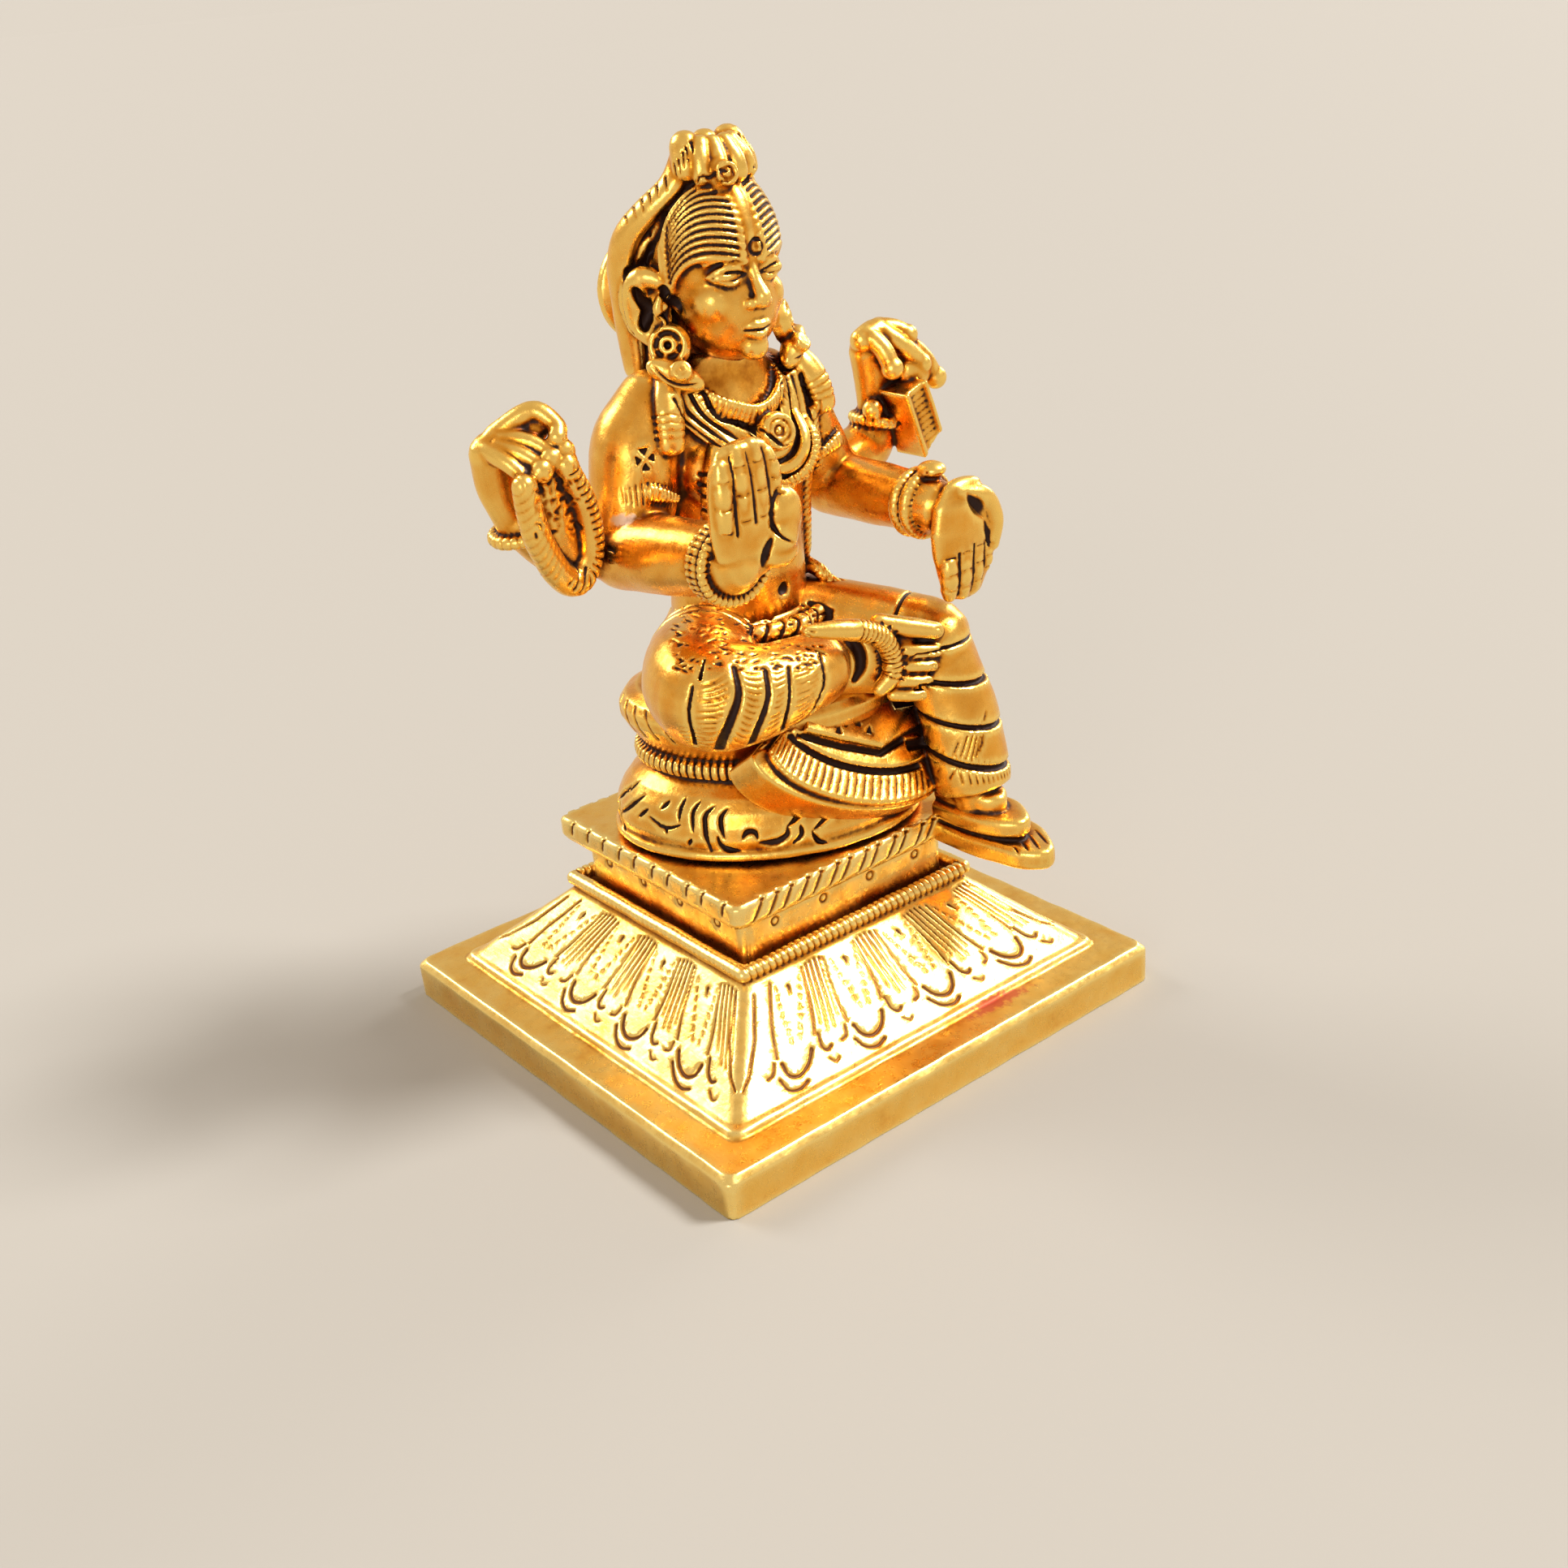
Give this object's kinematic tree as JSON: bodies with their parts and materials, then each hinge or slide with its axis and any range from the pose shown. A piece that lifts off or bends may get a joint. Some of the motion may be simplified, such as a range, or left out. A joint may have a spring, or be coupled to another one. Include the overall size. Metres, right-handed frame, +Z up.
{
  "type": "hindu goddess statue",
  "caption": "Seated goddess figure on a lotus seat, one leg hanging and one open hand raised, set on a square stepped plinth as an altar or shelf ornament.",
  "frame": {"origin": "centre of the plinth's underside", "axes": "+Z up; the figure faces -Y and its left hand side is +X"},
  "size_m": [0.064, 0.064, 0.1003],
  "materials": {
    "polished_brass": "polished, with dark patina in the hollows",
    "pale_brass": "satin, with brown patina in the corners"
  },
  "bodies": {
    "root": {"goddess_figure": "polished_brass", "plinth": "pale_brass"}
  },
  "joints": []
}
